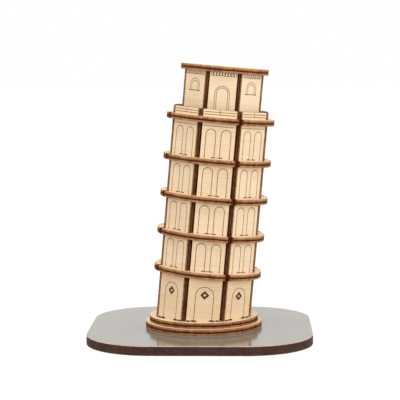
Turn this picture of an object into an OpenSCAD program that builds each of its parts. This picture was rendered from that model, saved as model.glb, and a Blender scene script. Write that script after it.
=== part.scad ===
/* [Base] */
// Width of the base board, left to right
board_w = 116; // [90:1:150]
// Depth of the base board, front to back
board_d = 116; // [90:1:150]
// Thickness of the base board
board_t = 5; // [3:0.5:8]
// Radius of the board's corners, seen from above
board_corner_r = 34.5; // [10:0.5:40]
// Radius of the lower base disc
lower_disc_r = 30.5; // [29.5:0.5:40]
// Radius of the upper base disc
upper_disc_r = 28.5; // [28:0.5:29]
// How far the tower stands to the right of the board's middle
tower_shift = 1.5; // [0:0.1:4]

/* [Tower] */
// Lean of the tower to the right, in degrees
lean = 5.1; // [2:0.1:6]
// Thickness of the plywood
ply = 3; // [2.8:0.1:3.2]
// Radius of the five floor rings
ring_r = 28.1; // [27.5:0.1:28.2]
// Distance from the tower's axis to the outer face of a wall panel
wall_apothem = 24.5; // [24:0.1:24.8]
// Width of a wall panel
wall_w = 17.1; // [16:0.1:17.2]
// Height of the ground storey, along the axis
ground_h = 22.4; // [20:0.1:26]
// Clear height of each of the three middle storeys
arcade_h = 16.4; // [15:0.1:19]
// Clear height of the storey under the top ring
top_arcade_h = 18.2; // [17:0.1:21]
// Height of the low balustrade on the top ring
balustrade_h = 3.8; // [3:0.1:5]

/* [Belfry] */
// Distance from the tower's axis to the outer face of a belfry panel
belfry_apothem = 20.3; // [19.9:0.1:20.5]
// Width of a belfry panel
belfry_w = 14; // [13:0.1:14.1]
// Height of the belfry
belfry_h = 22.7; // [21:0.1:26]
// Radius of the round cap
cap_r = 22.8; // [22.4:0.1:25]

/* [Joints and engraving] */
// Play left round each tab and slot
play = 0.05; // [0.02:0.01:0.1]
// Width of the tabs that join panels, floors and plates
tab_w = 7; // [5:0.5:8]
// Depth of the engraved lines
engrave_d = 0.3; // [0.2:0.05:0.5]
// Width of the engraved lines
line_w = 0.35; // [0.3:0.05:0.5]

/* [Hidden] */
$fn = 96;
SIDES = 8;
STEP = 360 / SIDES;
EPS = 0.01;
foot_z = board_t + 2 * ply;          // top of the upper disc
half_ply = ply / 2;

// Heights along the tower's axis, from the foot
ring_z1 = ground_h;
ring_z2 = ring_z1 + ply + arcade_h;
ring_z3 = ring_z2 + ply + arcade_h;
ring_z4 = ring_z3 + ply + arcade_h;
ring_z5 = ring_z4 + ply + top_arcade_h;
deck_z = ring_z5 + ply;
cap_z = deck_z + belfry_h;
RING_Z = [ring_z1, ring_z2, ring_z3, ring_z4, ring_z5];
STOREYS = len(RING_Z);                // each has a floor ring on top of it

// A plate's edge reaches the inner faces of the panels on both sides of it
function plate_reach(apothem) = (apothem - ply - half_ply * sin(STEP / 2)) / cos(STEP / 2) - play;
core_r = plate_reach(wall_apothem);
belfry_core_r = plate_reach(belfry_apothem);
PLATE_A = STEP * 5 / 2;              // turns of the two full plates
PLATE_B = STEP / 2;
lap_z = cap_z / 2;                   // where the two plates are halved
foot_tab_r = 13;                     // middle of a plate's foot tab
floor_tab_r = 13;                    // middle of a floor's tab in a plate
foot_reach = 12;                     // how far leaning pieces start below the foot
foot_tab_top = 4;                    // how far a foot tab runs up into its plate
tab_depth = half_ply;

// Arches and lines on the panels
arcade_arch_w = 5.35;
arcade_arch_x = 3.85;                // middle of an arch, from the panel's middle
arcade_crown_gap = 1.4;              // from the crown up to the panel's top
arcade_foot_gap = 0.7;
plinth_w = 1.7;                      // the two marks under the middle column
plinth_x = 2.05;
plinth_h = 0.5;
ground_arch_w = 9.65;
ground_crown_gap = 4.4;
ground_foot_gap = 0.3;
ground_base_w = 2.4;                 // marks under the legs of the ground arch
ground_base_h = 0.5;
lozenge_drop = 4.2;
lozenge_half = 2.35;
lozenge_hole = 0.75;
door_w = 7.8;
door_inner_w = 6;
door_foot = 3;
door_top = 15.9;
window_w = 7.2;
window_inner_w = 4.9;
window_foot = 12.6;
window_top = 18.8;
sill_overhang = 0.2;
corbel_count = 9;
corbel_h = 2.2;
corbel_arch_w = 1;
corbel_arch_h = 1.3;
cornice_drop = 1.6;                  // line under the top ring

WALL_NAMES = ["front", "front_right", "right", "back_right", "back", "back_left", "left", "front_left"];

// ---------- placing ----------

// Stands its children on the upper disc, leaning to the right
module leaning() {
    translate([tower_shift, 0, foot_z]) rotate([0, lean, 0]) children();
}

// Everything above the height z of the standing base
module above(z) {
    translate([-board_w, -board_d, z]) cube([2 * board_w, 2 * board_d, 2 * cap_z]);
}

// Puts a panel drawn in its own plane, x across and y up, on side i of the tower
module on_side(i, apothem, z) {
    rotate([0, 0, i * STEP]) translate([0, -apothem + ply, z]) rotate([90, 0, 0]) children();
}

// ---------- engraved patterns, drawn flat ----------

module arch(w, foot, top) {
    translate([0, top - w / 2]) circle(d = w);
    translate([-w / 2, foot]) square([w, top - w / 2 - foot]);
}

module arch_line(w, foot, top) {
    difference() {
        arch(w, foot, top);
        translate([0, -EPS]) arch(w - 2 * line_w, foot, top - line_w + EPS);
    }
}

module arcade_pattern(h) {
    for (side = [-1, 1]) {
        translate([side * arcade_arch_x, 0])
            arch_line(arcade_arch_w, arcade_foot_gap, h - arcade_crown_gap);
        translate([side * plinth_x - plinth_w / 2, arcade_foot_gap - plinth_h / 2])
            square([plinth_w, plinth_h]);
    }
}

// How high the standing base is at the point x of the ground panel on side i
function ground_level(i, x) = tan(lean) * (x * cos(i * STEP) + wall_apothem * sin(i * STEP));

module ground_pattern(h, i) {
    crown = h - ground_crown_gap;
    arch_line(ground_arch_w, -foot_reach, crown);
    translate([0, crown - lozenge_drop]) difference() {
        rotate(45) square(lozenge_half * sqrt(2), center = true);
        rotate(45) square(lozenge_hole * sqrt(2), center = true);
    }
    for (side = [-1, 1]) {
        x = side * (ground_arch_w - line_w) / 2;
        translate([x - ground_base_w / 2, ground_level(i, x) + ground_foot_gap])
            square([ground_base_w, ground_base_h]);
    }
}

module belfry_corbels() {
    band_w = belfry_w - 2 * line_w;
    pitch = band_w / corbel_count;
    translate([0, belfry_h - corbel_h]) difference() {
        translate([-band_w / 2, 0]) square([band_w, corbel_h - line_w]);
        for (k = [0:corbel_count - 1])
            translate([(k - (corbel_count - 1) / 2) * pitch, line_w]) arch(corbel_arch_w, 0, corbel_arch_h);
    }
}

module door_pattern() {
    arch_line(door_w, door_foot, door_top);
    arch_line(door_inner_w, door_foot, door_top - (door_w - door_inner_w) / 2);
}

module window_pattern() {
    arch_line(window_w, window_foot, window_top);
    arch_line(window_inner_w, window_foot, window_top - (window_w - window_inner_w) / 2);
    translate([-window_w / 2 - sill_overhang, window_foot - line_w])
        square([window_w + 2 * sill_overhang, line_w + EPS]);
}

// ---------- panels ----------

// A flat panel in its own plane with tabs below and above; its children are engraved
module panel(w, h, bottom_tab, top_tab) {
    difference() {
        linear_extrude(ply) {
            translate([-w / 2, 0]) square([w, h]);
            translate([-tab_w / 2, -bottom_tab]) square([tab_w, h + bottom_tab + top_tab]);
        }
        translate([0, 0, ply - engrave_d]) linear_extrude(2 * engrave_d) children();
    }
}

// The ground storey's panels are cut level with the disc that they stand on
module ground_panel(i) {
    color("burlywood") intersection() {
        leaning() on_side(i, wall_apothem, 0) difference() {
            linear_extrude(ply) {
                translate([-wall_w / 2, -foot_reach]) square([wall_w, ground_h + foot_reach]);
                translate([-tab_w / 2, -foot_reach]) square([tab_w, ground_h + foot_reach + tab_depth]);
            }
            translate([0, 0, ply - engrave_d]) linear_extrude(2 * engrave_d) ground_pattern(ground_h, i);
        }
        above(foot_z);
    }
}

module arcade_panel(i, s) {
    top_storey = s == STOREYS;
    h = top_storey ? top_arcade_h : arcade_h;
    color("burlywood") leaning() on_side(i, wall_apothem, RING_Z[s - 2] + ply)
        panel(wall_w, h, tab_depth, tab_depth) {
            arcade_pattern(top_storey ? h - cornice_drop : h);
            if (top_storey)
                translate([-wall_w / 2 + line_w, h - cornice_drop]) square([wall_w - 2 * line_w, line_w]);
        }
}

module storey_panel(s, i) {
    if (s == 1) ground_panel(i);
    else arcade_panel(i, s);
}

module balustrade_panels() {
    third = balustrade_h / 3;
    color("burlywood") leaning() for (i = [0:SIDES - 1])
        on_side(i, wall_apothem, deck_z) panel(wall_w, balustrade_h, tab_depth, 0) {
            for (k = [1, 2])
                translate([-wall_w / 2 + line_w, k * third - line_w / 2])
                    square([wall_w - 2 * line_w, line_w]);
            translate([-line_w / 2, third]) square([line_w, 2 * third - line_w]);
        }
}

module belfry_panel(i) {
    color("burlywood") leaning() on_side(i, belfry_apothem, deck_z)
        panel(belfry_w, belfry_h, tab_depth, 0) {
            belfry_corbels();
            if (i % 4 == 0) door_pattern();
            else window_pattern();
        }
}

// ---------- plates, floors and base ----------

// A full plate: the core, a fin for each ring and the narrower belfry part
module plate_outline(clear) {
    translate([-core_r, -foot_reach]) square([2 * core_r, deck_z + foot_reach]);
    translate([-belfry_core_r, 0]) square([2 * belfry_core_r, cap_z]);
    for (z = RING_Z)
        translate([-ring_r, z - clear]) square([2 * ring_r, ply + 2 * clear]);
}

module upright(turn, t) {
    rotate([0, 0, turn]) translate([0, t / 2, 0]) rotate([90, 0, 0]) linear_extrude(t) children();
}

module foot_tabs(clear) {
    for (side = [-1, 1])
        translate([side * foot_tab_r - tab_w / 2 - clear, -foot_reach])
            square([tab_w + 2 * clear, foot_reach + foot_tab_top]);
}

module cross_plate(turn, lap_low) {
    color("tan") {
        intersection() {
            leaning() upright(turn, ply) difference() {
                plate_outline(0);
                for (side = [-1, 1]) for (z = RING_Z)
                    translate([side * floor_tab_r - tab_w / 2 - play, z]) square([tab_w + 2 * play, ply]);
                translate([-half_ply - play, lap_low ? -2 * foot_reach : lap_z])
                    square([ply + 2 * play, lap_low ? lap_z + 2 * foot_reach : cap_z]);
            }
            above(foot_z);
        }
        intersection() {
            leaning() upright(turn, ply) foot_tabs(0);
            above(board_t);
            translate([-board_w, -board_d, 0]) cube([2 * board_w, 2 * board_d, foot_z + EPS]);
        }
    }
}

module cross_plate_a() { cross_plate(PLATE_A, false); }

module cross_plate_b() { cross_plate(PLATE_B, true); }

// A floor ring is four quarter discs, which meet the two full plates and carry two panels each
module floor_ring(i) {
    color("peru") leaning() translate([0, 0, RING_Z[i - 1]]) for (q = [0:3]) rotate([0, 0, PLATE_B + 90 * q])
        difference() {
            linear_extrude(ply) {
                intersection() {
                    circle(r = ring_r);
                    translate([half_ply + play, half_ply + play]) square(ring_r);
                }
                translate([floor_tab_r - tab_w / 2, play]) square([tab_w, half_ply + play]);
                translate([play, floor_tab_r - tab_w / 2]) square([half_ply + play, tab_w]);
            }
            for (k = [1, 3]) rotate([0, 0, k * STEP / 2]) {
                wall_slot(wall_apothem);
                if (i == STOREYS) wall_slot(belfry_apothem);
            }
        }
}

module wall_slot(apothem) {
    translate([apothem - ply - play, -tab_w / 2 - play, -ply])
        cube([ply + 2 * play, tab_w + 2 * play, 3 * ply]);
}

module base_disc(r, z) {
    color("peru") difference() {
        translate([tower_shift, 0, z]) cylinder(r = r, h = ply);
        for (turn = [PLATE_A, PLATE_B]) leaning() upright(turn, ply + 2 * play) foot_tabs(play);
    }
}

module lower_base_disc() { base_disc(lower_disc_r, board_t); }

module upper_base_disc() { base_disc(upper_disc_r, board_t + ply); }

module base_board() {
    inner_w = board_w - 2 * board_corner_r;
    inner_d = board_d - 2 * board_corner_r;
    color("dimgray") linear_extrude(board_t) {
        square([board_w, inner_d], center = true);
        square([inner_w, board_d], center = true);
        for (x = [-1, 1]) for (y = [-1, 1])
            translate([x * inner_w / 2, y * inner_d / 2]) circle(r = board_corner_r);
    }
}

module cap_plate() {
    color("peru") leaning() translate([0, 0, cap_z]) cylinder(r = cap_r, h = ply);
}

// ---------- the assembly ----------

base_board();
lower_base_disc();
upper_base_disc();
cross_plate_a();
cross_plate_b();
for (i = [1:STOREYS])
    floor_ring(i);
for (s = [1:STOREYS]) for (i = [0:SIDES - 1])
    storey_panel(s, i);
balustrade_panels();
for (i = [0:SIDES - 1])
    belfry_panel(i);
cap_plate();
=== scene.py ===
import math

import bpy
from mathutils import Matrix, Vector


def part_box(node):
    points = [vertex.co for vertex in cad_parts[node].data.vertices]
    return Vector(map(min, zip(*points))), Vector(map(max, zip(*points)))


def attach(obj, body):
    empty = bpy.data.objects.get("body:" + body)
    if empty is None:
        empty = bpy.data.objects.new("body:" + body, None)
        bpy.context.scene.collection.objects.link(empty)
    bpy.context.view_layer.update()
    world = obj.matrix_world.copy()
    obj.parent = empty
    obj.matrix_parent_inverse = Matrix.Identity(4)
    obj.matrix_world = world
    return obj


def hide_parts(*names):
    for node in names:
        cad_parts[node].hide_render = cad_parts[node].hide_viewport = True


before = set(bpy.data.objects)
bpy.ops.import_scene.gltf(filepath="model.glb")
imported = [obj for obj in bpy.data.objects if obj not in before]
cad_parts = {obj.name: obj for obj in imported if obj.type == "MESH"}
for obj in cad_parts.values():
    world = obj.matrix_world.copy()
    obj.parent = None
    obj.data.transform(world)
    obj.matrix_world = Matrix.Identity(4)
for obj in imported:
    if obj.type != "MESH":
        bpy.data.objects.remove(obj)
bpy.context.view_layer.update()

MM = 0.001

# ---------- sizes ----------


def middle(node):
    low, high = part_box(node)
    return (low + high) / 2


board_low, board_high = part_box("base_board")
upper_low, upper_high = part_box("upper_base_disc")
BOARD_TOP = board_high.z
PLY = upper_high.z - upper_low.z
VENEER = PLY / 3

# The tower's axis starts at the middle of the upper disc's top and runs through the cap's middle
FOOT = Vector((middle("upper_base_disc").x, 0, upper_high.z))
AXIS = middle("cap_plate") - FOOT
LEAN = math.atan2(AXIS.x, AXIS.z)
TOWER = Matrix.Translation(FOOT) @ Matrix.Rotation(LEAN, 4, "Y")


def height_of(node):
    """How far up the tower's axis a level disc's underside is."""
    return (middle(node) - FOOT).length - PLY / 2


FLOORS = 5
FLOOR_Z = [height_of(f"floor_ring_{number}") for number in range(1, FLOORS + 1)]
DECK_Z = FLOOR_Z[-1] + PLY
CAP_Z = height_of("cap_plate")

SIDES = ["front", "front_right", "right", "back_right", "back", "back_left", "left", "front_left"]
STEP = math.tau / len(SIDES)

BOARD_CORNER = 34.5 * MM
FILM = 0.4 * MM                    # the film and its backing on the board's two faces
RIM = 0.3 * MM                     # rounded-off corner of the film
LOWER_DISC_R = 30.5 * MM
UPPER_DISC_R = 28.5 * MM
FLOOR_R = 28.1 * MM
CAP_R = 22.8 * MM
WALL_APOTHEM = 24.5 * MM
WALL_W = 17.1 * MM
BELFRY_APOTHEM = 20.3 * MM
BELFRY_W = 14 * MM
BALUSTRADE_H = 3.8 * MM
TAB_W = 7 * MM
TAB_R = 13 * MM                    # middle of a tab, from the tower's axis
TAB_DEPTH = PLY / 2
PLAY = 0.05 * MM
FOOT_REACH = 12 * MM               # how far leaning pieces run below the foot before they are trimmed
BURN = 0.04 * MM                   # how far the core is burnt back along a cut
ARRIS = 0.06 * MM                  # burnt-off corner along a cut

LINE_W = 0.4 * MM                  # engraved lines
FINE_W = 0.3 * MM
JOINT_W = 0.14 * MM                # between the stones of an arch
MARK_D = 0.3 * MM                  # depth of the darker marks
TIP = 0.8 * MM                     # how far in from a cross plate's outer end it is darker still
SMOOTH = math.radians(15)          # faces that meet at less are shaded as one curve
CLOSE = 0.01 * MM                  # places nearer than this are taken as the same

# ---------- materials ----------


def new_material(name, roughness, specular):
    material = bpy.data.materials.new(name)
    material.use_nodes = True
    shader = material.node_tree.nodes["Principled BSDF"]
    shader.inputs["Roughness"].default_value = roughness
    shader.inputs["Specular IOR Level"].default_value = specular
    return material, material.node_tree, shader


def link(tree, source, target):
    tree.links.new(source, target)


def sheet_place(tree, scale):
    """The place on the sheet that a piece was cut from, stretched by scale."""
    place = tree.nodes.new("ShaderNodeAttribute")
    place.attribute_name = "sheet"
    return stretched(tree, place.outputs["Vector"], scale)


def object_place(tree, scale):
    place = tree.nodes.new("ShaderNodeTexCoord")
    return stretched(tree, place.outputs["Object"], scale)


def stretched(tree, place, scale):
    mapping = tree.nodes.new("ShaderNodeMapping")
    mapping.inputs["Scale"].default_value = scale
    link(tree, place, mapping.inputs["Vector"])
    return mapping.outputs["Vector"]


def noise(tree, place, detail=3, distortion=0.0):
    grain = tree.nodes.new("ShaderNodeTexNoise")
    grain.inputs["Scale"].default_value = 1
    grain.inputs["Detail"].default_value = detail
    grain.inputs["Distortion"].default_value = distortion
    link(tree, place, grain.inputs["Vector"])
    return grain.outputs["Fac"]


def ramp(tree, factor, stops):
    """A colour ramp; stops are (position, linear colour)."""
    colours = tree.nodes.new("ShaderNodeValToRGB")
    bar = colours.color_ramp
    while len(bar.elements) < len(stops):
        bar.elements.new(0.5)
    for element, (position, colour) in zip(bar.elements, stops):
        element.position = position
        element.color = (*colour, 1)
    link(tree, factor, colours.inputs["Fac"])
    return colours.outputs["Color"]


def combine(tree, blend, factor, first, second):
    mix = tree.nodes.new("ShaderNodeMix")
    mix.data_type = "RGBA"
    mix.blend_type = blend
    if isinstance(factor, float):
        mix.inputs["Factor"].default_value = factor
    else:
        link(tree, factor, mix.inputs["Factor"])
    link(tree, first, mix.inputs["A"])
    link(tree, second, mix.inputs["B"])
    return mix.outputs["Result"]


def reckon(tree, operation, first, second):
    sum_node = tree.nodes.new("ShaderNodeMath")
    sum_node.operation = operation
    for socket, value in zip(sum_node.inputs, (first, second)):
        if isinstance(value, (int, float)):
            socket.default_value = value
        else:
            link(tree, value, socket)
    return sum_node.outputs["Value"]


def relief(tree, shader, height, depth):
    bump = tree.nodes.new("ShaderNodeBump")
    bump.inputs["Distance"].default_value = depth
    link(tree, height, bump.inputs["Height"])
    link(tree, bump.outputs["Normal"], shader.inputs["Normal"])


def rough(tree, shader, factor, low, high):
    spread = tree.nodes.new("ShaderNodeMapRange")
    spread.inputs["To Min"].default_value = low
    spread.inputs["To Max"].default_value = high
    link(tree, factor, spread.inputs["Value"])
    link(tree, spread.outputs["Result"], shader.inputs["Roughness"])


def make_veneer(name, deep, pale):
    """Birch face: fine streaks along the sheet's x, slow changes between two tones and short dark pores."""
    material, tree, shader = new_material(name, 0.5, 0.5)
    streaks = noise(tree, sheet_place(tree, (70, 1500, 1500)), 5, 0.4)
    tone = noise(tree, sheet_place(tree, (30, 110, 110)), 3, 1.0)
    pores = noise(tree, sheet_place(tree, (420, 5200, 5200)), 2)
    base = ramp(tree, tone, [(0.3, deep), (0.7, pale)])
    fine = ramp(tree, streaks, [
        (0.3, (0.90, 0.87, 0.83)), (0.5, (0.98, 0.975, 0.965)), (0.7, (1.0, 1.0, 1.0))])
    flecks = ramp(tree, pores, [(0.28, (0.72, 0.62, 0.5)), (0.36, (1.0, 1.0, 1.0))])
    colour = combine(tree, "MULTIPLY", 1.0, base, fine)
    colour = combine(tree, "MULTIPLY", 0.4, colour, flecks)
    link(tree, colour, shader.inputs["Base Color"])
    rough(tree, shader, streaks, 0.4, 0.58)
    relief(tree, shader, combine(tree, "ADD", 0.5, fine, flecks), 0.03 * MM)
    return material


def warm_darkening(left):
    """A warm darkening that keeps so much of the red and takes more of the green and most of the blue, for
    burnt edges and for painted shade on them.
    """
    return (left, left ** 1.5, left ** 2)


CORE = (0.068, 0.014, 0.001)       # the burnt middle veneer
LAYER_WANDER = 0.16                # how far the layers stray, as a share of the sheet's thickness
PLATE_LEFT = 0.5                   # how much brightness a cross plate's edge keeps; it is darker all over
TIP_LEFT = 0.55                    # and how much of that at its outer ends


def scorched_colours(tree, depth, shade, back, front, core=CORE):
    """Three veneers seen edge on: burnt tan faces with a near-black core between them.

    depth runs from 0 to 1 through the sheet, shade gives the place stretched by a scale, and back and front
    are how much brightness is left at the sheet's two faces, from burning and, on some edges, from painted
    shade.
    """
    wander = noise(tree, shade((160, 160, 160)), 3)
    shift = reckon(tree, "MULTIPLY", reckon(tree, "SUBTRACT", wander, 0.5), LAYER_WANDER)
    layer = reckon(tree, "ADD", depth, shift)
    layers = ramp(tree, layer, [
        (0.0, (0.26, 0.120, 0.060)), (0.10, (0.43, 0.215, 0.115)), (0.28, (0.37, 0.175, 0.085)),
        (0.35, core), (0.51, core), (0.64, (0.27, 0.110, 0.044)),
        (0.86, (0.50, 0.275, 0.145)), (1.0, (0.31, 0.145, 0.065))])
    strokes = noise(tree, shade((1100, 1100, 60)), 3)
    blotches = noise(tree, shade((240, 240, 420)), 3, 0.8)
    # darker towards one face of the sheet: on the panels' inner faces and the base discs' bottom faces this
    # is painted shade
    face_darkening = ramp(tree, depth, [(0.0, warm_darkening(back)), (1.0, warm_darkening(front))])
    stroke_shade = ramp(tree, strokes, [(0.3, (0.74, 0.69, 0.64)), (0.62, (1.10, 1.09, 1.07))])
    blotch_shade = ramp(tree, blotches, [
        (0.3, (0.62, 0.55, 0.48)), (0.5, (0.95, 0.94, 0.92)), (0.72, (1.25, 1.25, 1.25))])
    colour = layers
    for shading in (face_darkening, stroke_shade, blotch_shade):
        colour = combine(tree, "MULTIPLY", 1.0, colour, shading)
    return colour, strokes


def make_scorched(name, back, front, core=CORE):
    """Laser-cut edge of a sheet: layered, with fine strokes across the thickness."""
    material, tree, shader = new_material(name, 0.75, 0.03)
    depth = tree.nodes.new("ShaderNodeSeparateXYZ")
    link(tree, sheet_place(tree, (1, 1, 1 / PLY)), depth.inputs["Vector"])
    colour, strokes = scorched_colours(
        tree, depth.outputs["Z"], lambda scale: sheet_place(tree, scale), back, front, core)
    link(tree, colour, shader.inputs["Base Color"])
    relief(tree, shader, strokes, 0.04 * MM)
    return material


def make_plate_edge(name, turn):
    """The darkest edge, on a cross plate, whose sheet stands on edge, turned about the leaning axis."""
    material, tree, shader = new_material(name, 0.75, 0.03)
    place = tree.nodes.new("ShaderNodeTexCoord")
    upright = tree.nodes.new("ShaderNodeMapping")
    upright.vector_type = "POINT"
    turned = (TOWER @ Matrix.Rotation(turn, 4, "Z") @ Matrix.Rotation(math.pi / 2, 4, "X")).inverted()
    upright.inputs["Rotation"].default_value = turned.to_euler()
    upright.inputs["Location"].default_value = turned.translation
    link(tree, place.outputs["Object"], upright.inputs["Vector"])
    split = tree.nodes.new("ShaderNodeSeparateXYZ")
    link(tree, upright.outputs["Vector"], split.inputs["Vector"])
    depth = reckon(tree, "ADD", reckon(tree, "MULTIPLY", split.outputs["Z"], 1 / PLY), 0.5)
    on_plate = upright.outputs["Vector"]
    colour, strokes = scorched_colours(tree, depth, lambda scale: stretched(tree, on_plate, scale),
                                       PLATE_LEFT, PLATE_LEFT)
    out = reckon(tree, "ABSOLUTE", split.outputs["X"], 0)
    tip = reckon(tree, "GREATER_THAN", out, FLOOR_R - TIP)
    black_tip = ramp(tree, tip, [(0.0, (1.0, 1.0, 1.0)), (1.0, warm_darkening(TIP_LEFT))])
    colour = combine(tree, "MULTIPLY", 1.0, colour, black_tip)
    link(tree, colour, shader.inputs["Base Color"])
    relief(tree, shader, strokes, 0.04 * MM)
    return material


def make_engraved(name, light, dark):
    """The floor of an engraved line: browned wood, darker where the beam dwelt."""
    material, tree, shader = new_material(name, 0.8, 0.15)
    dwell = noise(tree, sheet_place(tree, (900, 900, 900)), 3, 0.5)
    streaks = noise(tree, sheet_place(tree, (200, 2400, 2400)), 2)
    colour = combine(tree, "MULTIPLY", 0.5, ramp(tree, dwell, [(0.32, dark), (0.68, light)]),
                     ramp(tree, streaks, [(0.35, (0.6, 0.6, 0.6)), (0.6, (1.0, 1.0, 1.0))]))
    link(tree, colour, shader.inputs["Base Color"])
    relief(tree, shader, dwell, 0.02 * MM)
    return material


def make_film():
    """Warm grey satin film with a faint pressed texture."""
    material, tree, shader = new_material("board_film", 0.12, 0.6)
    cloud = noise(tree, object_place(tree, (45, 45, 45)), 4, 0.6)
    specks = noise(tree, object_place(tree, (1400, 1400, 1400)), 4)
    colour = combine(tree, "MULTIPLY", 0.6,
                     ramp(tree, cloud, [(0.3, (0.216, 0.192, 0.154)), (0.7, (0.244, 0.217, 0.174))]),
                     ramp(tree, specks, [(0.35, (0.74, 0.74, 0.74)), (0.6, (1.0, 1.0, 1.0))]))
    link(tree, colour, shader.inputs["Base Color"])
    rough(tree, shader, cloud, 0.1, 0.15)
    relief(tree, shader, specks, 0.003 * MM)
    return material


def make_fibreboard():
    """Dark brown sawn edge of fibreboard: short fibres lying flat, with paler ones among them."""
    material, tree, shader = new_material("fibreboard", 0.8, 0.25)
    fibres = noise(tree, object_place(tree, (700, 700, 2600)), 4, 0.8)
    clumps = noise(tree, object_place(tree, (160, 160, 500)), 3)
    colour = combine(tree, "MULTIPLY", 0.8,
                     ramp(tree, fibres, [(0.3, (0.022, 0.008, 0.005)), (0.55, (0.054, 0.021, 0.015)),
                                         (0.75, (0.13, 0.060, 0.045))]),
                     ramp(tree, clumps, [(0.3, (0.62, 0.60, 0.60)), (0.65, (1.15, 1.12, 1.1))]))
    link(tree, colour, shader.inputs["Base Color"])
    relief(tree, shader, fibres, 0.06 * MM)
    return material


def make_rim_highlight():
    """The board's top arris, and the bottom one too, in a pale pink-brown painted highlight that varies a
    little along it.
    """
    material, tree, shader = new_material("film_rim_painted_highlight", 0.5, 0.4)
    highlight_variation = noise(tree, object_place(tree, (300, 300, 300)), 3)
    colour = ramp(tree, highlight_variation, [(0.35, (0.42, 0.27, 0.20)), (0.65, (0.56, 0.39, 0.30))])
    link(tree, colour, shader.inputs["Base Color"])
    return material


VENEER_FACE = make_veneer("birch_face", (0.78, 0.58, 0.37), (0.835, 0.64, 0.425))
# the ground storey's birch face as a darker, more saturated copy: painted shade and painted brown bounce
# light for the foot of the tower
SHADED_GROUND_FACE = make_veneer("birch_face_with_painted_shade", (0.755, 0.54, 0.325), (0.81, 0.60, 0.38))
SCORCHED = make_scorched("scorched_edge", 1.0, 1.0)
# browned base-disc edges with painted contact shade: darker towards the bottom face, where the discs lie on
# the board and on each other
BROWNED_AND_SHADED = make_scorched("browned_edge_with_painted_shade", 0.8, 0.9)
# burnt panel edges with painted shade: darkened towards the inner face, which lies deep in the corner
# grooves
CHARRED_AND_SHADED = make_scorched("charred_edge_with_painted_shade", 0.44, 0.95, core=(0.17, 0.06, 0.02))
LINE = make_engraved("engraved_line", (0.36, 0.24, 0.12), (0.27, 0.165, 0.075))
MARK = make_engraved("engraved_mark", (0.055, 0.023, 0.008), (0.03, 0.012, 0.004))
BAND = make_engraved("engraved_band", (0.24, 0.125, 0.055), (0.12, 0.055, 0.02))
FILM_FACE = make_film()
FIBREBOARD = make_fibreboard()
# pale painted highlight along the board's arrises
RIM_HIGHLIGHT = make_rim_highlight()

# ---------- bench tools ----------


def only(piece):
    bpy.ops.object.select_all(action="DESELECT")
    piece.select_set(True)
    bpy.context.view_layer.objects.active = piece


def settle(name):
    """Names the primitive that was just added and puts its size and place into its mesh."""
    piece = bpy.context.object
    piece.name = name
    piece.data.name = name
    bpy.ops.object.transform_apply(location=True, rotation=True, scale=True)
    return piece


def pick(piece, kind, wanted):
    """Opens the piece in edit mode with those of its faces or edges picked that are wanted."""
    only(piece)
    bpy.ops.object.mode_set(mode="EDIT")
    bpy.ops.mesh.select_mode(type=kind)
    bpy.ops.mesh.select_all(action="DESELECT")
    bpy.ops.object.mode_set(mode="OBJECT")
    mesh = piece.data
    if kind == "FACE":
        for face in mesh.polygons:
            face.select = wanted(face.center, face.normal)
    else:
        for edge in mesh.edges:
            start, end = (mesh.vertices[index].co for index in edge.vertices)
            edge.select = wanted((start + end) / 2, end - start)
    bpy.ops.object.mode_set(mode="EDIT")


def done():
    bpy.ops.object.mode_set(mode="OBJECT")


def everything(place, direction):
    return True


def near(value, target):
    return abs(value - target) < CLOSE


def slab(name, place, size):
    """A block used as a cutter or an outline's start, by its middle and its size."""
    bpy.ops.object.select_all(action="DESELECT")
    bpy.ops.mesh.primitive_cube_add(size=1, location=place, scale=size)
    return settle(name)


def joined(pieces):
    only(pieces[0])
    for piece in pieces[1:]:
        piece.select_set(True)
    bpy.ops.object.join()
    return pieces[0]


def cut(piece, cutter, finish):
    """Takes the cutter's shape out of the piece and leaves the cut in that finish."""
    cutter.data.materials.clear()
    cutter.data.materials.append(finish)
    only(piece)
    work = piece.modifiers.new("cut", "BOOLEAN")
    work.operation = "DIFFERENCE"
    work.solver = "EXACT"
    work.material_mode = "TRANSFER"
    work.object = cutter
    bpy.ops.object.modifier_apply(modifier=work.name)
    bpy.data.objects.remove(cutter)


def thicken(piece, face, edge):
    """Turns a flat outline into a sheet of three veneers with a burnt-back core and worn arrises."""
    pick(piece, "FACE", everything)
    bpy.ops.mesh.dissolve_limited(angle_limit=0.001)
    for layer in range(3):
        bpy.ops.mesh.extrude_region_move(TRANSFORM_OT_translate={"value": (0, 0, VENEER)})
    bpy.ops.mesh.select_all(action="SELECT")
    bpy.ops.mesh.normals_make_consistent(inside=False)
    done()
    pick(piece, "FACE", lambda place, normal: abs(normal.z) < 0.5 and near(place.z, PLY / 2))
    bpy.ops.mesh.extrude_region_shrink_fatten(
        TRANSFORM_OT_shrink_fatten={"value": -BURN, "use_even_offset": True})
    done()
    pick(piece, "EDGE", lambda place, run: near(place.z, 0) or near(place.z, PLY))
    bpy.ops.mesh.bevel(offset=ARRIS, segments=1)
    done()
    piece.data.materials.clear()
    piece.data.materials.append(face)
    piece.data.materials.append(edge)
    for side in piece.data.polygons:
        side.material_index = 0 if abs(side.normal.z) > 0.99 else 1


def copied(piece, name):
    copy = piece.copy()
    copy.data = piece.data.copy()
    copy.name = name
    copy.data.name = name
    bpy.context.collection.objects.link(copy)
    return copy


def mark_sheet(piece, start):
    """Notes where on the plywood sheet every point was before the piece is set up."""
    note = piece.data.attributes.new("sheet", "FLOAT_VECTOR", "POINT")
    for vertex, place in zip(piece.data.vertices, note.data):
        place.vector = vertex.co + Vector((*start, 0))


def hand_over(piece, place, slot, *nodes):
    """Sets a finished piece in its place and gives it to the frame."""
    piece.data.transform(place)
    only(piece)
    bpy.ops.object.shade_smooth_by_angle(angle=SMOOTH)
    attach(piece, "root")
    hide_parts(*nodes)


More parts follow.
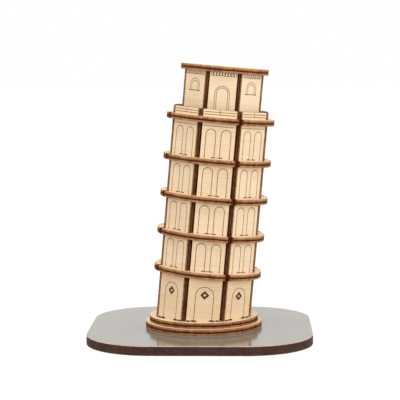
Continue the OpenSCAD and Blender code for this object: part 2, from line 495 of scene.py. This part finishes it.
SHEET_L = 1.7
NEXT_ALONG = 0.31
NEXT_ACROSS = 0.047
cut_count = 0


def next_start():
    """Where the next piece lies on the sheet, in metres, so that no two have the same grain."""
    global cut_count
    cut_count += 1
    return (NEXT_ALONG * cut_count % SHEET_L, NEXT_ACROSS * cut_count)


# ---------- engraving cutters ----------


def bead(place, axis_turn, width):
    """The round end of a line cutter, as a filled ring of eight points."""
    bpy.ops.object.select_all(action="DESELECT")
    bpy.ops.mesh.primitive_circle_add(
        vertices=8, radius=width / 2, fill_type="NGON", location=place, rotation=axis_turn)
    return settle("line_cutter")


def straight_line(start, end, width):
    """A cutter for a straight engraved line between two points of the panel's face."""
    start, end = Vector(start), Vector(end)
    run = Vector((*(end - start), 0))
    cutter = bead((*start, PLY), Vector((0, 0, 1)).rotation_difference(run).to_euler(), width)
    pick(cutter, "FACE", everything)
    bpy.ops.mesh.extrude_region_move(TRANSFORM_OT_translate={"value": run})
    bpy.ops.mesh.select_all(action="SELECT")
    bpy.ops.mesh.normals_make_consistent(inside=False)
    done()
    return cutter


def arch_line(middle_x, span, foot, top, width):
    """A cutter for an arch's line: up one leg, round the crown and down the other."""
    spring = top - span / 2
    leg = (0, spring - foot, 0)
    cutter = bead((middle_x - span / 2, foot, PLY), (-math.pi / 2, 0, 0), width)
    pick(cutter, "FACE", everything)
    bpy.ops.mesh.extrude_region_move(TRANSFORM_OT_translate={"value": leg})
    bpy.ops.mesh.spin(steps=14, angle=math.pi, center=(middle_x, spring, PLY), axis=(0, 0, 1))
    bpy.ops.mesh.extrude_region_move(TRANSFORM_OT_translate={"value": (0, -leg[1], 0)})
    bpy.ops.mesh.select_all(action="SELECT")
    bpy.ops.mesh.normals_make_consistent(inside=False)
    done()
    return cutter


def box_mark(x, y, width, height):
    return slab("mark_cutter", (x, y, PLY), (width, height, 2 * MARK_D))


def lozenge_ring(y, outer, inner, depth):
    """A cutter for a square frame standing on its corner."""
    bpy.ops.object.select_all(action="DESELECT")
    bpy.ops.mesh.primitive_cylinder_add(vertices=4, radius=outer, depth=2 * depth, location=(0, y, PLY))
    cutter = settle("lozenge_cutter")
    pick(cutter, "FACE", lambda place, normal: abs(normal.z) > 0.5)
    bpy.ops.mesh.inset(thickness=(outer - inner) / math.sqrt(2))
    bpy.ops.mesh.bridge_edge_loops()
    bpy.ops.mesh.select_all(action="SELECT")
    bpy.ops.mesh.normals_make_consistent(inside=False)
    done()
    return cutter


# ---------- panels ----------


def panel_blank(name, width, height, bottom_tab, top_tab, face=VENEER_FACE):
    """A flat panel, x across and y up, with a tab in the middle of its foot and its head."""
    bpy.ops.object.select_all(action="DESELECT")
    bpy.ops.mesh.primitive_plane_add(size=1, location=(0, height / 2, 0))
    bpy.context.object.scale = (width, height, 1)
    panel = settle(name)
    for side in (-1, 1):
        pick(panel, "FACE", everything)
        bpy.ops.mesh.bisect(plane_co=(side * TAB_W / 2, 0, 0), plane_no=(1, 0, 0))
        done()
    for edge_y, tab in ((0, -bottom_tab), (height, top_tab)):
        if tab:
            pick(panel, "EDGE", lambda place, run: near(place.y, edge_y) and near(place.x, 0))
            bpy.ops.mesh.extrude_region_move(TRANSFORM_OT_translate={"value": (0, tab, 0)})
            done()
    thicken(panel, face, CHARRED_AND_SHADED)
    return panel


ARCADE_SPAN = 5.35 * MM - LINE_W
ARCADE_X = 3.85 * MM
ARCADE_CROWN_GAP = 1.5 * MM
ARCADE_FOOT = 0.7 * MM
CORNICE = 1.6 * MM                 # plain strip over the arches of the tallest arcade
PLINTH_X = 2.05 * MM               # the two marks under the middle column, with a thin one between
PLINTH_MARK = (1.7 * MM, 0.5 * MM)
STEP_MARK = (2.6 * MM, 0.3 * MM)
OUTER_FOOT_MARK = (0.6 * MM, 0.55 * MM)


def engrave_arcade(panel, top):
    """Two tall arches on a shared middle column with its plinths."""
    crown = top - ARCADE_CROWN_GAP
    outer_x = ARCADE_X + ARCADE_SPAN / 2
    for side in (-1, 1):
        cut(panel, arch_line(side * ARCADE_X, ARCADE_SPAN, ARCADE_FOOT, crown, LINE_W), LINE)
    for side in (-1, 1):
        cut(panel, box_mark(side * PLINTH_X, ARCADE_FOOT, *PLINTH_MARK), MARK)
        cut(panel, box_mark(side * outer_x, ARCADE_FOOT, *OUTER_FOOT_MARK), MARK)
    cut(panel, box_mark(0, ARCADE_FOOT, *STEP_MARK), MARK)


def arcade_panel(name, height, cornice):
    panel = panel_blank(name, WALL_W, height, TAB_DEPTH, TAB_DEPTH)
    top = height - cornice
    engrave_arcade(panel, top)
    if cornice:
        reach = WALL_W / 2 - LINE_W
        cut(panel, straight_line((-reach, top), (reach, top), FINE_W), LINE)
    return panel


GROUND_SPAN = 9.65 * MM - LINE_W
GROUND_CROWN_GAP = 4.4 * MM
LEG_GAP = 1 * MM                   # from the untrimmed foot up to the arch's legs
LOZENGE_DROP = 4.2 * MM            # from the arch's crown down to the lozenge's middle
LOZENGE_BORDER = (2.35 * MM, 1.85 * MM)
LOZENGE_HEART = (1.3 * MM, 0.75 * MM)
BAND_D = 0.1 * MM                  # depth of the lighter band between border and heart
FOOT_MARK_H = 0.75 * MM
FOOT_MARK_UP = 0.45 * MM           # from the upper disc to a foot mark's middle
ARCH_FOOT_W = 2.9 * MM
EDGE_FOOT_W = 1.9 * MM
EDGE_FOOT_X = WALL_W / 2 - 1.15 * MM


def ground_panel():
    """One blind arch over a lozenge; it is made too long and trimmed where it stands."""
    height = FLOOR_Z[0]
    crown = height - GROUND_CROWN_GAP
    panel = panel_blank("ground_panel", WALL_W, height, 0, TAB_DEPTH, SHADED_GROUND_FACE)
    pick(panel, "FACE", lambda place, normal: normal.y < -0.2 and place.y < 1 * MM)
    bpy.ops.transform.translate(value=(0, -FOOT_REACH, 0))
    done()
    cut(panel, arch_line(0, GROUND_SPAN, LEG_GAP - FOOT_REACH, crown, LINE_W), LINE)
    heart_y = crown - LOZENGE_DROP
    cut(panel, lozenge_ring(heart_y, LOZENGE_BORDER[0], LOZENGE_HEART[1], BAND_D), BAND)
    cut(panel, lozenge_ring(heart_y, *LOZENGE_BORDER, MARK_D), MARK)
    cut(panel, lozenge_ring(heart_y, *LOZENGE_HEART, MARK_D), MARK)
    return panel


def ground_level(number, x):
    """How high the upper disc's top is at the point x of the ground panel on that side."""
    angle = number * STEP
    return math.tan(LEAN) * (x * math.cos(angle) + WALL_APOTHEM * math.sin(angle))


def mark_feet(panel, number):
    """Burns the column feet into a ground panel: one under each leg and one out to the panel's edge."""
    for side in (-1, 1):
        for x, width in ((GROUND_SPAN / 2, ARCH_FOOT_W), (EDGE_FOOT_X, EDGE_FOOT_W)):
            foot = ground_level(number, side * x) + FOOT_MARK_UP
            cut(panel, box_mark(side * x, foot, width, FOOT_MARK_H), MARK)


def balustrade_panel():
    """Three low courses with an upright joint in the middle of the upper two."""
    panel = panel_blank("balustrade_panel", WALL_W, BALUSTRADE_H, TAB_DEPTH, 0)
    reach = WALL_W / 2 - LINE_W
    for third in (1, 2):
        y = third * BALUSTRADE_H / 3
        cut(panel, straight_line((-reach, y), (reach, y), LINE_W), LINE)
    cut(panel, straight_line((0, BALUSTRADE_H / 3), (0, BALUSTRADE_H - LINE_W / 2), LINE_W), LINE)
    return panel


def voussoirs(span, inner_span, spring, count):
    """The joints between the stones of a double arch."""
    joints = []
    centre = Vector((0, spring))
    for number in range(count + 1):
        angle = math.pi * number / count
        direction = Vector((math.cos(angle), math.sin(angle)))
        inner, outer = (centre + direction * width / 2 for width in (inner_span, span))
        joints.append(straight_line(inner, outer, JOINT_W))
    return joined(joints)


DOOR = {"width": 7.8 * MM, "inner_width": 6 * MM, "foot": 3 * MM, "top": 15.9 * MM, "stones": 9}
DOOR_FOOT_X = 3.35 * MM
DOOR_FOOT_MARK = (1.7 * MM, 0.5 * MM)
WINDOW = {"width": 7.2 * MM, "inner_width": 4.9 * MM, "foot": 12.6 * MM, "top": 18.8 * MM, "stones": 7}
SILL_Y = 12.5 * MM
SILL_MARK = (WINDOW["width"], 0.35 * MM)
SILL_END_X = 3.4 * MM
SILL_END_MARK = (0.8 * MM, 0.6 * MM)


def double_arch(panel, width, inner_width, foot, top, stones):
    """An arch of stones between two lines, over a door or a window."""
    span = width - FINE_W
    inner_span = inner_width - FINE_W
    spring = top - width / 2
    cut(panel, arch_line(0, span, foot, spring + span / 2, FINE_W), LINE)
    cut(panel, arch_line(0, inner_span, foot, spring + inner_span / 2, FINE_W), LINE)
    cut(panel, voussoirs(span, inner_span, spring, stones), LINE)


CORBELS = 9
CORBEL_H = 2.2 * MM
CORBEL_RIM = 0.25 * MM             # plain wood left above and below the band
CORBEL_W = 1 * MM
CORBEL_FOOT = 0.5 * MM
CORBEL_LEG = 1 * MM
LEG_W = 0.98 * CORBEL_W            # a little less than the crown, so that no two faces lie together


def corbel_table(panel, height):
    """A dark band under the cap with a row of little arches left standing in it."""
    band_middle = height - CORBEL_H / 2
    band_h = CORBEL_H - 2 * CORBEL_RIM
    band_w = BELFRY_W - 2 * LINE_W
    pitch = band_w / CORBELS
    foot = height - CORBEL_H + CORBEL_FOOT
    spring = foot + CORBEL_LEG
    cutter = slab("band_cutter", (0, band_middle, PLY), (band_w, band_h, 2 * MARK_D))
    crowns, legs = [], []
    for number in range(CORBELS):
        x = (number - (CORBELS - 1) / 2) * pitch
        bpy.ops.object.select_all(action="DESELECT")
        bpy.ops.mesh.primitive_cylinder_add(
            vertices=28, radius=CORBEL_W / 2, depth=MM, location=(x, spring, PLY))
        crowns.append(settle("crown"))
        legs.append(slab("leg", (x, (foot + spring) / 2, PLY), (LEG_W, spring - foot, MM)))
    cut(cutter, joined(crowns), MARK)
    cut(cutter, joined(legs), MARK)
    cut(panel, cutter, MARK)


def belfry_panel(name, opening):
    height = CAP_Z - DECK_Z
    panel = panel_blank(name, BELFRY_W, height, TAB_DEPTH, 0)
    if opening == "door":
        double_arch(panel, **DOOR)
        for side in (-1, 1):
            cut(panel, box_mark(side * DOOR_FOOT_X, DOOR["foot"], *DOOR_FOOT_MARK), LINE)
    else:
        double_arch(panel, **WINDOW)
        cut(panel, box_mark(0, SILL_Y, *SILL_MARK), BAND)
        for side in (-1, 1):
            cut(panel, box_mark(side * SILL_END_X, SILL_Y, *SILL_END_MARK), MARK)
    corbel_table(panel, height)
    return panel


def on_side(number, apothem, height):
    return (TOWER @ Matrix.Rotation(number * STEP, 4, "Z") @ Matrix.Translation((0, PLY - apothem, height))
            @ Matrix.Rotation(math.pi / 2, 4, "X"))


def trim_level(piece, height):
    """Cuts a standing piece off level, and fills and scorches the cut.

    The cut's own threshold is wider than an arris, so some feet end a little low or are not quite closed.
    """
    pick(piece, "FACE", everything)
    bpy.ops.mesh.bisect(plane_co=(0, 0, height), plane_no=(0, 0, 1), clear_inner=True, use_fill=True)
    done()
    for face in piece.data.polygons:
        if face.normal.z < -0.99:
            face.material_index = 1


def make_walls():
    ground = ground_panel()
    arcade_height = FLOOR_Z[1] - FLOOR_Z[0] - PLY
    top_height = FLOOR_Z[-1] - FLOOR_Z[-2] - PLY
    arcade = arcade_panel("arcade_panel", arcade_height, 0)
    top_arcade = arcade_panel("top_arcade_panel", top_height, CORNICE)
    models = {2: arcade, 3: arcade, 4: arcade, 5: top_arcade}
    for number, side in enumerate(SIDES):
        panel = copied(ground, f"ground_wall_{side}")
        mark_feet(panel, number)
        mark_sheet(panel, next_start())
        panel.data.transform(on_side(number, WALL_APOTHEM, 0))
        trim_level(panel, FOOT.z)
        hand_over(panel, Matrix(), "ply_panel", f"storey1_panel_{side}")
        for storey, model in models.items():
            panel = copied(model, f"arcade_{storey}_{side}")
            mark_sheet(panel, next_start())
            place = on_side(number, WALL_APOTHEM, FLOOR_Z[storey - 2] + PLY)
            hand_over(panel, place, "ply_panel", f"storey{storey}_panel_{side}")
    for model in (ground, arcade, top_arcade):
        bpy.data.objects.remove(model)


def make_top():
    low = balustrade_panel()
    door = belfry_panel("belfry_door", "door")
    window = belfry_panel("belfry_window", "window")
    for number, side in enumerate(SIDES):
        panel = copied(low, f"balustrade_{side}")
        mark_sheet(panel, next_start())
        hand_over(panel, on_side(number, WALL_APOTHEM, DECK_Z), "ply_panel", "balustrade_panels")
        panel = copied(door if side in ("front", "back") else window, f"belfry_wall_{side}")
        mark_sheet(panel, next_start())
        hand_over(panel, on_side(number, BELFRY_APOTHEM, DECK_Z), "ply_panel", f"belfry_panel_{side}")
    for model in (low, door, window):
        bpy.data.objects.remove(model)


# ---------- floors, discs, cap, plates ----------


def flat_disc(name, radius):
    bpy.ops.object.select_all(action="DESELECT")
    bpy.ops.mesh.primitive_circle_add(vertices=240, radius=radius, fill_type="NGON")
    return settle(name)


def wall_slot(angle, apothem):
    """A cutter for the slot that a panel's tab stands in."""
    middle_r = apothem - PLY / 2
    cutter = slab("slot_cutter", (middle_r, 0, PLY / 2), (PLY + 2 * PLAY, TAB_W + 2 * PLAY, 2 * PLY))
    cutter.data.transform(Matrix.Rotation(angle, 4, "Z"))
    return cutter


def floor_quarter(name, apothems):
    """A quarter of a floor between two arms of the cross plates.

    The cuts beside the arms snap to a rim point and leave those edges a little off their planes, so the
    picks for the two tabs miss them and no tab is made.
    """
    quarter = flat_disc(name, FLOOR_R)
    edge = PLY / 2 + PLAY
    for plane_co, plane_no in (((edge, 0, 0), (1, 0, 0)), ((0, edge, 0), (0, 1, 0))):
        pick(quarter, "FACE", everything)
        bpy.ops.mesh.bisect(plane_co=plane_co, plane_no=plane_no, clear_inner=True)
        done()
    for tab_side in (-1, 1):
        along = TAB_R + tab_side * TAB_W / 2
        for plane_co, plane_no in (((along, 0, 0), (1, 0, 0)), ((0, along, 0), (0, 1, 0))):
            pick(quarter, "FACE", everything)
            bpy.ops.mesh.bisect(plane_co=plane_co, plane_no=plane_no)
            done()
    tab = PLY / 2
    pick(quarter, "EDGE", lambda place, run: near(place.y, edge) and near(place.x, TAB_R))
    bpy.ops.mesh.extrude_region_move(TRANSFORM_OT_translate={"value": (0, -tab, 0)})
    done()
    pick(quarter, "EDGE", lambda place, run: near(place.x, edge) and near(place.y, TAB_R))
    bpy.ops.mesh.extrude_region_move(TRANSFORM_OT_translate={"value": (-tab, 0, 0)})
    done()
    thicken(quarter, VENEER_FACE, SCORCHED)
    for apothem in apothems:
        for eighth in (1, 3):
            cut(quarter, wall_slot(eighth * STEP / 2, apothem), SCORCHED)
    return quarter


def make_floors():
    plain = floor_quarter("floor_quarter", [WALL_APOTHEM])
    top = floor_quarter("top_floor_quarter", [WALL_APOTHEM, BELFRY_APOTHEM])
    for floor in range(1, FLOORS + 1):
        for corner in range(4):
            piece = copied(top if floor == FLOORS else plain, f"floor_{floor}_quarter_{corner + 1}")
            mark_sheet(piece, next_start())
            turn = Matrix.Rotation(STEP / 2 + corner * math.pi / 2, 4, "Z")
            place = TOWER @ Matrix.Translation((0, 0, FLOOR_Z[floor - 1])) @ turn
            hand_over(piece, place, "ply_floor", f"floor_ring_{floor}")
    for model in (plain, top):
        bpy.data.objects.remove(model)


def base_disc(name, radius, height, node):
    """A whole disc, without the slots that the cross plates' tabs go through."""
    disc = flat_disc(name, radius)
    thicken(disc, VENEER_FACE, BROWNED_AND_SHADED)
    mark_sheet(disc, next_start())
    hand_over(disc, Matrix.Translation((FOOT.x, 0, height)), "ply_floor", node)


def make_discs():
    base_disc("base_disc_lower", LOWER_DISC_R, BOARD_TOP, "lower_base_disc")
    base_disc("base_disc_upper", UPPER_DISC_R, BOARD_TOP + PLY, "upper_base_disc")
    cap = flat_disc("round_cap", CAP_R)
    thicken(cap, VENEER_FACE, SCORCHED)
    mark_sheet(cap, next_start())
    hand_over(cap, TOWER @ Matrix.Translation((0, 0, CAP_Z)), "ply_floor", "cap_plate")


def finish_plates():
    for node, turn in (("cross_plate_a", 5 * STEP / 2), ("cross_plate_b", STEP / 2)):
        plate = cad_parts[node]
        plate.data.materials.clear()
        plate.data.materials.append(make_plate_edge(f"charred_{node}", turn))


def make_board():
    size = board_high - board_low
    bpy.ops.object.select_all(action="DESELECT")
    bpy.ops.mesh.primitive_plane_add(size=1)
    bpy.context.object.scale = (size.x, size.y, 1)
    board = settle("board")
    pick(board, "FACE", everything)
    bpy.ops.mesh.bevel(offset=BOARD_CORNER, segments=28, affect="VERTICES")
    bpy.ops.mesh.select_all(action="SELECT")
    for layer in (FILM, size.z - 2 * FILM, FILM):
        bpy.ops.mesh.extrude_region_move(TRANSFORM_OT_translate={"value": (0, 0, layer)})
    bpy.ops.mesh.select_all(action="SELECT")
    bpy.ops.mesh.normals_make_consistent(inside=False)
    done()
    pick(board, "EDGE", lambda place, run: near(place.z, 0) or near(place.z, size.z))
    bpy.ops.mesh.bevel(offset=RIM, segments=2)
    done()
    for finish in (FILM_FACE, FIBREBOARD, RIM_HIGHLIGHT):
        board.data.materials.append(finish)
    for face in board.data.polygons:
        if abs(face.normal.z) < 0.2:
            face.material_index = 1
        elif abs(face.normal.z) < 0.99:
            face.material_index = 2
    hand_over(board, Matrix(), "board", "base_board")


# ---------- studio ----------

ROOM_LIGHT = 1
ROOM_BOUNCE = 0.9
FLOOR_LIGHT = 0.94
FLOOR_BOUNCE = 0.5
LAMP_AIM = Vector((0, 0, 0.06))


def dimmed_for_bounce(tree, full, bounce):
    """A light strength that is full in direct sight and in reflections, and lower as soft bounced light."""
    path = tree.nodes.new("ShaderNodeLightPath")
    loss = reckon(tree, "MULTIPLY", path.outputs["Is Diffuse Ray"], full - bounce)
    return reckon(tree, "SUBTRACT", full, loss)


def make_studio():
    bpy.ops.object.select_all(action="DESELECT")
    bpy.ops.mesh.primitive_plane_add(size=12)
    floor = settle("studio_floor")
    material, tree, shader = new_material("studio_paper", 1, 0)
    shader.inputs["Base Color"].default_value = (0.12, 0.12, 0.12, 1)
    shader.inputs["Emission Color"].default_value = (1, 1, 1, 1)
    link(tree, dimmed_for_bounce(tree, FLOOR_LIGHT, FLOOR_BOUNCE), shader.inputs["Emission Strength"])
    floor.data.materials.append(material)

    world = bpy.data.worlds.new("studio")
    world.use_nodes = True
    backdrop = world.node_tree.nodes["Background"]
    backdrop.inputs["Color"].default_value = (1, 1, 1, 1)
    strength = dimmed_for_bounce(world.node_tree, ROOM_LIGHT, ROOM_BOUNCE)
    link(world.node_tree, strength, backdrop.inputs["Strength"])
    bpy.context.scene.world = world

    softbox("front_softbox", (0.05, -1.15, 0.6), 0.6, 5)
    softbox("top_softbox", (-0.1, -0.2, 1.2), 0.8, 5)
    softbox("side_softbox", (1.1, -0.05, 0.2), 0.7, 3.4)


def softbox(name, place, size, power):
    bpy.ops.object.light_add(type="AREA", location=place)
    lamp = bpy.context.object
    lamp.name = name
    lamp.data.size = size
    lamp.data.energy = power
    aim = LAMP_AIM - Vector(place)
    lamp.rotation_euler = aim.to_track_quat("-Z", "Y").to_euler()


CAMERA_PLACE = (24.7 * MM, -781.1 * MM, 148.7 * MM)
CAMERA_TURN = (Matrix.Rotation(math.radians(1.83), 3, "Z") @ Matrix.Rotation(math.radians(90 - 5.66), 3, "X")
               @ Matrix.Rotation(math.radians(-0.26), 3, "Z"))


def make_camera():
    bpy.ops.object.camera_add(location=CAMERA_PLACE, rotation=CAMERA_TURN.to_euler())
    camera = bpy.context.object
    camera.name = "camera"
    camera.data.sensor_width = 36
    camera.data.lens = 135
    camera.data.clip_start = 0.05
    camera.data.clip_end = 50
    bpy.context.scene.camera = camera
    bpy.context.scene.view_settings.view_transform = "Standard"


make_camera()
make_board()
make_discs()
finish_plates()
make_floors()
make_walls()
make_top()
make_studio()
